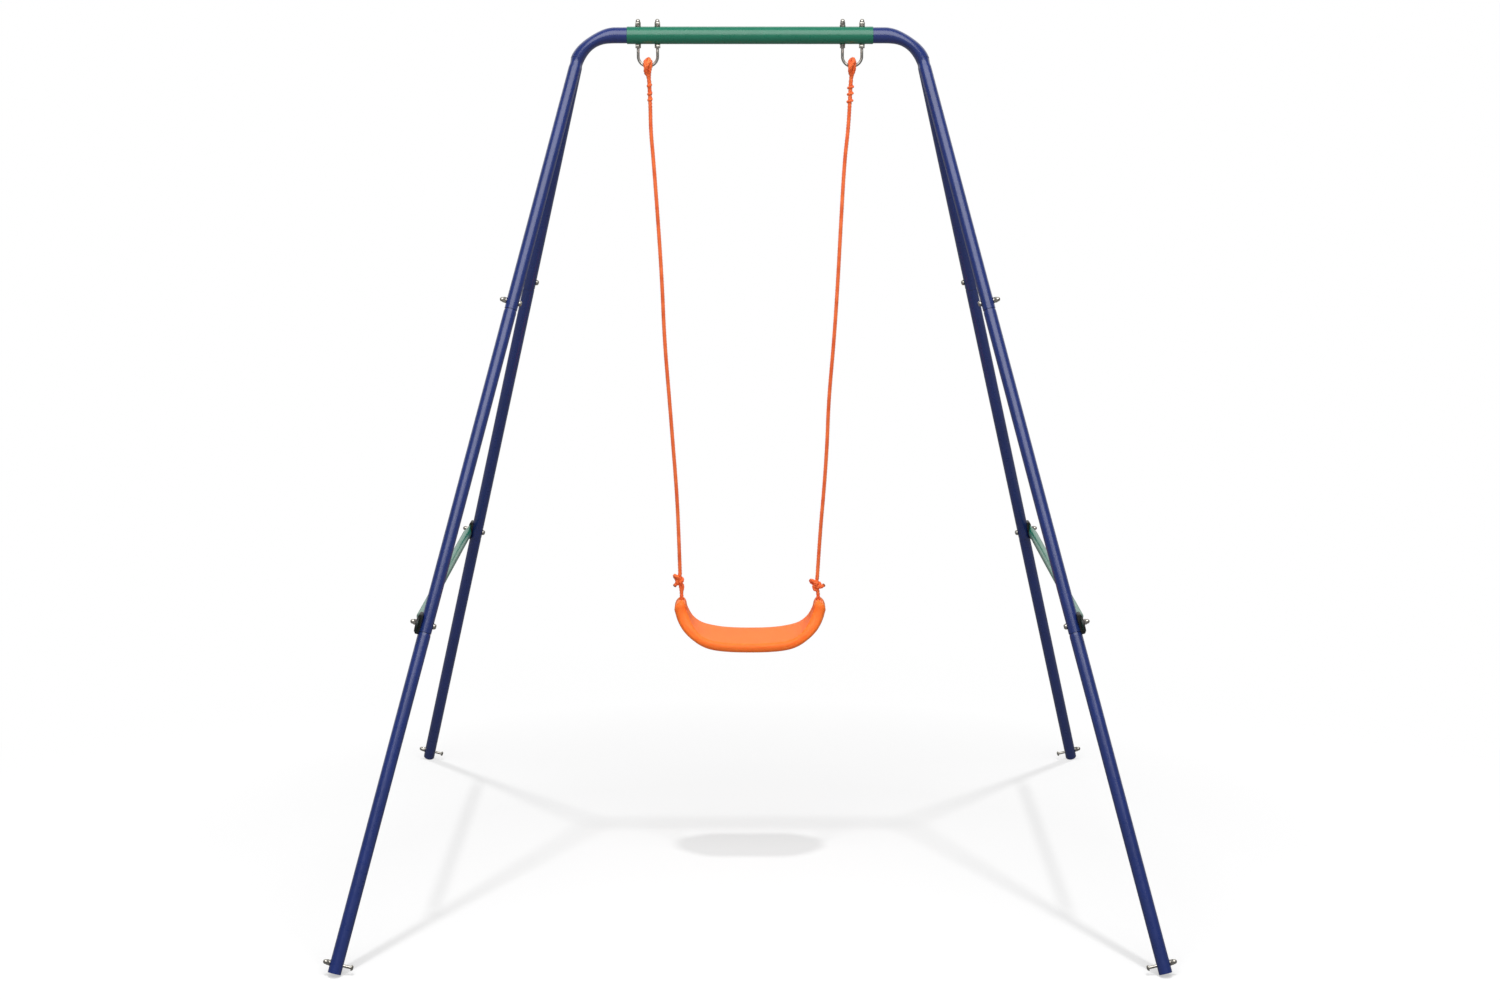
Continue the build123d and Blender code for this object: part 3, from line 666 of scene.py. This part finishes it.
TOP_CUTS, CUT_STEP = 12, 0.002  # rings cut round the top of a leg, so that it can follow the bend
for name in ("left", "right"):
    bend = flush_bend(f"corner_tube_{name}")
    bm = bmesh.new()
    bm.from_mesh(bend)
    skin = BVHTree.FromBMesh(bm)
    bm.free()
    add_piece(f"corner_bend_{name}", bend, blue_paint,
              "frame", "blue_powder_coat", f"corner_tube_{name}")
    beads = []
    for end in ("front", "rear"):
        node, place = f"upper_leg_{end}_{name}", leg_frame(f"{end}_{name}")
        bm = merged_copy(node)
        for cut in range(TOP_CUTS):
            level = Vector((0, 0, LEG_TOP - CUT_STEP * (cut + 0.5)))
            cut_across(bm, place @ level, place.to_3x3() @ Vector((0, 0, 1)))
        fair_down(bm, skin, place)
        add_piece(f"coped_leg_{end}_{name}", as_mesh(bm, node), blue_paint,
                  "frame", "blue_powder_coat", node)
        rim = []
        for i in range(BEAD_STEPS):
            a = 2 * math.pi * i / BEAD_STEPS
            edge = Vector((LEG_R * math.cos(a), LEG_R * math.sin(a), LEG_TOP - BEAD_R))
            spot, normal, _, _ = skin.find_nearest(place @ edge)
            rim.append(spot + normal * (BEAD_WAVES * noise.noise(spot * 420) - BEAD_WAVES))
        beads.append(rim)
    add_piece(f"weld_bead_{name}", bead_mesh(beads), blue_paint,
              "frame", "blue_powder_coat", f"corner_weld_{name}")

# ---- Middle and lower legs -------------------------------------------------------------------------
# 25 mm tubes with a 1.2 mm wall. The top of each is swaged down to slide into the tube above,
# so a rim and a short rounded shoulder show at every joint.
NECK_R, NECK_LONG, SHOULDER, RIM_DROP = 0.0114, 0.058, 0.005, 0.016
BRACE_BOLT, JOINT_BOLT, FOOT_BOLT = 0.681204, 1.345204, 0.018


def swaged_profile(low, rim):
    """Tube whose top is drawn in below the rim of the tube above it, with a rounded shoulder."""
    shoulder, top = rim - SHOULDER, rim + NECK_LONG
    outer = [(LEG_R - 0.0003, low), (LEG_R, low + 0.0003), (LEG_R, shoulder - 0.001),
             (LEG_R - 0.00012, shoulder), (LEG_R - 0.0011, rim - 0.0003), (NECK_R, rim + 0.0006),
             (NECK_R, top)]
    inner = [(r - LEG_WALL + (0.0006 if z == low else 0), z) for r, z in reversed(outer)]
    return outer + inner


lower_rim, upper_rim = BRACE_BOLT - RIM_DROP, JOINT_BOLT - RIM_DROP
for corner in feet:
    for kind, low_end, rim in (("lower_leg", 0.0, lower_rim), ("middle_leg", lower_rim, upper_rim)):
        bm = spun(swaged_profile(low_end, rim))
        bmesh.ops.transform(bm, matrix=leg_frame(corner), verts=bm.verts)
        node = f"{kind}_{corner}"
        add_piece(f"swaged_{node}", as_mesh(bm, node), blue_paint, "frame", "blue_powder_coat", node)

# ---- Braces and their saddles --------------------------------------------------------------------
# A 19 mm tube on each side, its ends pressed flat, rounded and drilled, in the crossbar's
# green. Black nylon saddles hollowed to the legs keep the flat ends from denting them, and
# thin black covers over the flat ends hide their edges.
nylon, tree, shader, place = new_finish("black_nylon")
grain = add_node(tree, "ShaderNodeTexNoise", {"Vector": place, "Scale": 1400, "Detail": 2})
relief = add_node(tree, "ShaderNodeBump",
                  {"Height": grain.outputs["Fac"], "Strength": 0.3, "Distance": 0.0002})
scuff = add_node(tree, "ShaderNodeTexNoise", {"Vector": place, "Scale": 160, "Detail": 4})
tint = add_node(tree, "ShaderNodeMix",
                {"Factor": scuff.outputs["Fac"], 6: linear("0d100f"), 7: linear("1b1e1d")}, data_type="RGBA")
tree.links.new(tint.outputs[2], shader.inputs["Base Color"])
tree.links.new(relief.outputs["Normal"], shader.inputs["Normal"])
shader.inputs["Roughness"].default_value = 0.5

for name in ("left", "right"):
    add_piece(f"brace_tube_{name}", smooth_copy(f"brace_{name}"), green_paint,
              "frame", "green_powder_coat", f"brace_{name}")

COVER_T, COVER_LONG, COVER_GAP, COVER_HOLE_R = 0.0008, 0.016, 0.00005, 0.0036
for corner in feet:
    place = leg_frame(corner, BRACE_BOLT)
    bolt, out = place.translation, place.to_3x3() @ Vector((1, 0, 0))
    tip = math.copysign(1, bolt.y)
    bm = merged_copy("brace_" + corner.split("_")[1])
    cut_across(bm, (0, bolt.y - tip * COVER_LONG, 0), (0, tip, 0), drop_behind=True)
    bare = [f for f in bm.faces if f.normal.dot(out) < -0.5
            or (f.calc_center_median() - bolt).cross(out).length < COVER_HOLE_R]
    bmesh.ops.delete(bm, geom=bare, context="FACES")
    bmesh.ops.translate(bm, vec=out * COVER_GAP, verts=bm.verts)
    bmesh.ops.solidify(bm, geom=list(bm.faces), thickness=-COVER_T)
    bmesh.ops.recalc_face_normals(bm, faces=bm.faces)
    add_piece(f"brace_end_cover_{corner}", as_mesh(bm, "cover"), nylon, "frame", "black_plastic")

for corner in feet:
    bm = merged_copy(f"brace_saddle_{corner}")
    bmesh.ops.dissolve_limit(bm, angle_limit=math.radians(2), verts=bm.verts, edges=bm.edges)
    sharp = [e for e in bm.edges if len(e.link_faces) == 2 and e.calc_face_angle() > math.radians(50)]
    bmesh.ops.bevel(bm, geom=sharp, offset=0.0006, offset_type="OFFSET", affect="EDGES", segments=2,
                    profile=0.5, material=-1, clamp_overlap=True)
    saddle = as_mesh(bm, "saddle")
    add_piece(f"leg_saddle_{corner}", saddle, nylon, "frame", "black_plastic", f"brace_saddle_{corner}")

# ---- Bolts, washers and cap nuts -----------------------------------------------------------------
# Bright zinc-plated M6 hardware. Every bolt's domed head is inside the frame and its cap nut
# outside, where a child can't catch on the thread.
zinc, tree, shader, place = new_finish("bright_zinc_plate")
bloom = add_node(tree, "ShaderNodeTexNoise", {"Vector": place, "Scale": 260, "Detail": 4})
tint = add_node(tree, "ShaderNodeMix",
                {"Factor": bloom.outputs["Fac"], 6: linear("a9a49a"), 7: linear("d5d2ca")}, data_type="RGBA")
gloss = add_node(tree, "ShaderNodeMapRange",
                 {"Value": bloom.outputs["Fac"], 1: 0.3, 2: 0.8, 3: 0.22, 4: 0.4})
drawn = add_node(tree, "ShaderNodeTexNoise", {"Vector": place, "Scale": 1800, "Detail": 2})
relief = add_node(tree, "ShaderNodeBump",
                  {"Height": drawn.outputs["Fac"], "Strength": 0.15, "Distance": 0.0001})
tree.links.new(tint.outputs[2], shader.inputs["Base Color"])
tree.links.new(gloss.outputs[0], shader.inputs["Roughness"])
tree.links.new(relief.outputs["Normal"], shader.inputs["Normal"])
shader.inputs["Metallic"].default_value = 1.0

ROD_R, FLATS, HEX_H, CAP_H, WASHER_T = 0.003, 0.010, 0.0055, 0.012, 0.0016
CAP_R = 0.0047
SHANK_IN_CAP = 0.0075
BRACE_STACK = 0.0066  # saddle and flat brace end, between the leg and the outer washer
FOOT_STAND_OFF = 0.015  # bare shank between a foot bolt's head and the leg


def join(bm, other, matrix):
    """Adds another bmesh, moved by the matrix, and frees it."""
    bmesh.ops.transform(other, matrix=matrix, verts=other.verts)
    carrier = bpy.data.meshes.new("part")
    other.to_mesh(carrier)
    other.free()
    bm.from_mesh(carrier)
    bpy.data.meshes.remove(carrier)


def washer():
    """Flat round washer with broken edges."""
    return spun([(0.00325, 0.0002), (0.0035, 0), (0.0058, 0), (0.006, 0.0002), (0.006, WASHER_T - 0.0003),
                 (0.0057, WASHER_T), (0.0036, WASHER_T), (0.00325, WASHER_T - 0.0003)], 32)


def hexagon(height):
    """Hexagon prism with its rims softened at both ends."""
    bm = bmesh.new()
    corner = FLATS / math.sqrt(3)
    bmesh.ops.create_cone(bm, cap_ends=True, segments=6, radius1=corner, radius2=corner, depth=height,
                          matrix=Matrix.Translation((0, 0, height / 2)))
    rims = [e for e in bm.edges if abs(e.verts[0].co.z - e.verts[1].co.z) < TOUCHING]
    bmesh.ops.bevel(bm, geom=rims, offset=0.0006, offset_type="OFFSET", affect="EDGES", segments=2,
                    profile=0.5, material=-1)
    return bm


def cap_nut():
    """Hexagon below a turned neck and a round dome."""
    bm = hexagon(HEX_H)
    top = CAP_H - CAP_R
    profile = [(0, HEX_H - 0.001), (CAP_R - 0.0002, HEX_H - 0.001), (CAP_R, HEX_H + 0.0004), (CAP_R, top)]
    for i in range(1, 8):
        a = math.radians(11.25 * i)
        profile.append((CAP_R * math.cos(a), top + CAP_R * math.sin(a)))
    profile += [(0, CAP_H)]
    join(bm, spun(profile, 32), Matrix.Identity(4))
    return bm


def pan_head():
    """Domed head above its underside at zero, with a round dimple for the driver."""
    profile = [(0, 0), (0.0055, 0), (0.0058, 0.0003), (0.0057, 0.0011), (0.0050, 0.0026), (0.0040, 0.0036),
               (0.0029, 0.0042), (0.0019, 0.0042), (0.0014, 0.0030), (0, 0.0028)]
    return spun(profile, 32)


def shank(low, high):
    """Plain round shank with its low end chamfered."""
    return spun([(0, low), (ROD_R - 0.0004, low), (ROD_R, low + 0.0004), (ROD_R, high), (0, high)], 24)


def bolt_set(name, up, inner_gap, outer_gap, inner_washer):
    """One height of bolts on all four legs: heads inside, washers and cap nuts outside."""
    bolts, washers, nuts = bmesh.new(), bmesh.new(), bmesh.new()
    inner = LEG_R + inner_gap + (WASHER_T if inner_washer else 0)
    outer = LEG_R + outer_gap
    along, back = Matrix.Rotation(math.pi / 2, 4, "Y"), Matrix.Rotation(-math.pi / 2, 4, "Y")
    for corner in feet:
        leg = leg_frame(corner, up)
        turn = Matrix.Rotation(math.radians(37 * len(corner) % 60), 4, "Z")
        if inner_washer:
            join(washers, washer(), leg @ Matrix.Translation((-inner, 0, 0)) @ along)
        join(washers, washer(), leg @ Matrix.Translation((outer, 0, 0)) @ along)
        join(nuts, cap_nut(), leg @ Matrix.Translation((outer + WASHER_T, 0, 0)) @ along @ turn)
        join(bolts, pan_head(), leg @ Matrix.Translation((-inner, 0, 0)) @ back)
        join(bolts, shank(-inner, outer + WASHER_T + SHANK_IN_CAP), leg @ along)
    for kind, bm in (("bolts", bolts), ("washers", washers), ("cap_nuts", nuts)):
        add_piece(f"zinc_{name}_{kind}", as_mesh(bm, kind), zinc,
                  "frame", "zinc_plated_steel", f"{name}_{kind}")


bolt_set("joint", JOINT_BOLT, 0, 0, True)
bolt_set("brace", BRACE_BOLT, 0, BRACE_STACK, True)
bolt_set("foot", FOOT_BOLT, FOOT_STAND_OFF, 0, False)

# ---- U-bolts ---------------------------------------------------------------------------------------
# 6 mm rod bent round, threaded at both ends, hung through the crossbar between a nut and
# washer below and two washers and a cap nut on top.
threaded, tree, shader, place = new_finish("zinc_rod_threaded")
height = add_node(tree, "ShaderNodeSeparateXYZ", {"Vector": place}).outputs["Z"]
thread = add_node(tree, "ShaderNodeTexWave", {"Vector": place, "Scale": 159.0},
                  wave_type="BANDS", bands_direction="Z")
upper = add_node(tree, "ShaderNodeMapRange", {"Value": height, 1: 1.7035, 2: 1.7045, 3: 0.0, 4: 1.0})
cut = add_node(tree, "ShaderNodeMath", {0: thread.outputs["Fac"], 1: upper.outputs[0]}, operation="MULTIPLY")
relief = add_node(tree, "ShaderNodeBump", {"Height": cut.outputs[0], "Strength": 0.9, "Distance": 0.0005})
bloom = add_node(tree, "ShaderNodeTexNoise", {"Vector": place, "Scale": 260, "Detail": 4})
tint = add_node(tree, "ShaderNodeMix",
                {"Factor": bloom.outputs["Fac"], 6: linear("a39f97"), 7: linear("cfccc4")}, data_type="RGBA")
tree.links.new(tint.outputs[2], shader.inputs["Base Color"])
tree.links.new(relief.outputs["Normal"], shader.inputs["Normal"])
shader.inputs["Metallic"].default_value = 1.0
shader.inputs["Roughness"].default_value = 0.3

U_HALF, NUT_H = 0.0196, 0.0065


def faces_of(geom):
    """The faces among the parts of a mesh."""
    return [f for f in geom if isinstance(f, bmesh.types.BMFace)]


def draw_out(bm, faces, vec):
    """Extrudes faces straight, and returns what was made."""
    made = bmesh.ops.extrude_face_region(bm, geom=faces)["geom"]
    moved = [v for v in made if isinstance(v, bmesh.types.BMVert)]
    bmesh.ops.translate(bm, vec=vec, verts=moved)
    return made


for name, side in (("left", -1), ("right", 1)):
    low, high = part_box(f"u_bolt_{name}")
    bm = bmesh.new()
    bmesh.ops.create_circle(bm, cap_ends=True, segments=24, radius=ROD_R,
                            matrix=Matrix.Translation((side * ROD_X - U_HALF, 0, high.z)))
    made = draw_out(bm, bm.faces[:], (0, 0, HANG_Z + U_HALF - high.z))
    bent = bmesh.ops.spin(bm, geom=faces_of(made), cent=(side * ROD_X, 0, HANG_Z + U_HALF),
                          axis=(0, -1, 0), dvec=(0, 0, 0), angle=math.pi, steps=24,
                          use_merge=False, use_duplicate=False)
    draw_out(bm, faces_of(bent["geom_last"]), (0, 0, high.z - HANG_Z - U_HALF))
    inside = [f for f in bm.faces if all(len(e.link_faces) > 2 for e in f.edges)]
    bmesh.ops.delete(bm, geom=inside, context="FACES_ONLY")
    bmesh.ops.remove_doubles(bm, verts=bm.verts, dist=TOUCHING)
    bmesh.ops.recalc_face_normals(bm, faces=bm.faces)
    add_piece(f"bent_rod_{name}", as_mesh(bm, "bent_rod"), threaded,
              "frame", "zinc_plated_steel", f"u_bolt_{name}")

lower_nuts, washers, nuts = bmesh.new(), bmesh.new(), bmesh.new()
for number, (side, leg) in enumerate(((-1, -1), (-1, 1), (1, -1), (1, 1))):
    x = side * ROD_X + leg * U_HALF
    turn = Matrix.Rotation(math.radians(17 + 23 * number), 4, "Z")
    top, bottom = BAR_Z + BAR_R, BAR_Z - BAR_R
    for z in (bottom - WASHER_T, top, top + WASHER_T):
        join(washers, washer(), Matrix.Translation((x, 0, z)))
    join(lower_nuts, hexagon(NUT_H), Matrix.Translation((x, 0, bottom - WASHER_T - NUT_H)) @ turn)
    join(nuts, cap_nut(), Matrix.Translation((x, 0, top + 2 * WASHER_T)) @ turn)
for kind, bm in (("washers", washers), ("lower_nuts", lower_nuts), ("cap_nuts", nuts)):
    add_piece(f"zinc_hanger_{kind}", as_mesh(bm, kind), zinc,
              "frame", "zinc_plated_steel", f"u_bolt_{kind}")

# ---- Seat ------------------------------------------------------------------------------------------
# One moulding of bright orange polyethylene, with its two ends turned up round the ropes.
# The skin is satin, with a fine even grain.
TIP_LONG, TIP_SOFT, TIP_SET, TIP_DOME = 0.032, 0.028, 0.0015, 0.03
SIDE_FROM, SIDE_LONG, SIDE_FULL = 0.018, 0.08, 0.003
SIDE_X, SIDE_BLEND = 0.11, 0.03
moulded, tree, shader, place = new_finish("polyethylene_orange")
grain = add_node(tree, "ShaderNodeTexNoise", {"Vector": place, "Scale": 900, "Detail": 2})
waves = add_node(tree, "ShaderNodeTexNoise", {"Vector": place, "Scale": 24, "Detail": 1})
both = add_node(tree, "ShaderNodeMath", {0: waves.outputs["Fac"], 1: 2.0, 2: grain.outputs["Fac"]},
                operation="MULTIPLY_ADD")
relief = add_node(tree, "ShaderNodeBump", {"Height": both.outputs[0], "Strength": 0.2, "Distance": 0.0004})
drift = add_node(tree, "ShaderNodeTexNoise", {"Vector": place, "Scale": 9, "Detail": 3})
tint = add_node(tree, "ShaderNodeMix",
                {"Factor": drift.outputs["Fac"], 6: linear("ff7024"), 7: linear("ff7e2e")}, data_type="RGBA")
tree.links.new(tint.outputs[2], shader.inputs["Base Color"])
tree.links.new(relief.outputs["Normal"], shader.inputs["Normal"])
shader.inputs["Roughness"].default_value = 0.55
shader.inputs["Specular IOR Level"].default_value = 0.3
shader.inputs["Subsurface Weight"].default_value = 0.4
shader.inputs["Subsurface Radius"].default_value = (0.012, 0.004, 0.0015)

seat = smooth_copy("seat", 50)
tip_top = max(v.co.z for v in seat.vertices)
for v in seat.vertices:
    # each tip is domed round its rope hole
    share = ease((v.co.z - tip_top + TIP_LONG) / TIP_SOFT)
    if share:
        off = abs(abs(v.co.x) - PIVOT_X)
        v.co.z -= share * (TIP_SET + off ** 2 / TIP_DOME)
    # the outer sides are filled out a little below the tips
    down = (tip_top - SIDE_FROM - v.co.z) / SIDE_LONG
    if 0 < down < 1 and abs(v.co.x) > SIDE_X:
        fuller = SIDE_FULL * math.sin(math.pi * down) * ease((abs(v.co.x) - SIDE_X) / SIDE_BLEND)
        v.co.x += math.copysign(fuller, v.co.x)
add_piece("moulded_seat", seat, moulded, "seat", "orange_plastic", "seat")

low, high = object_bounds()
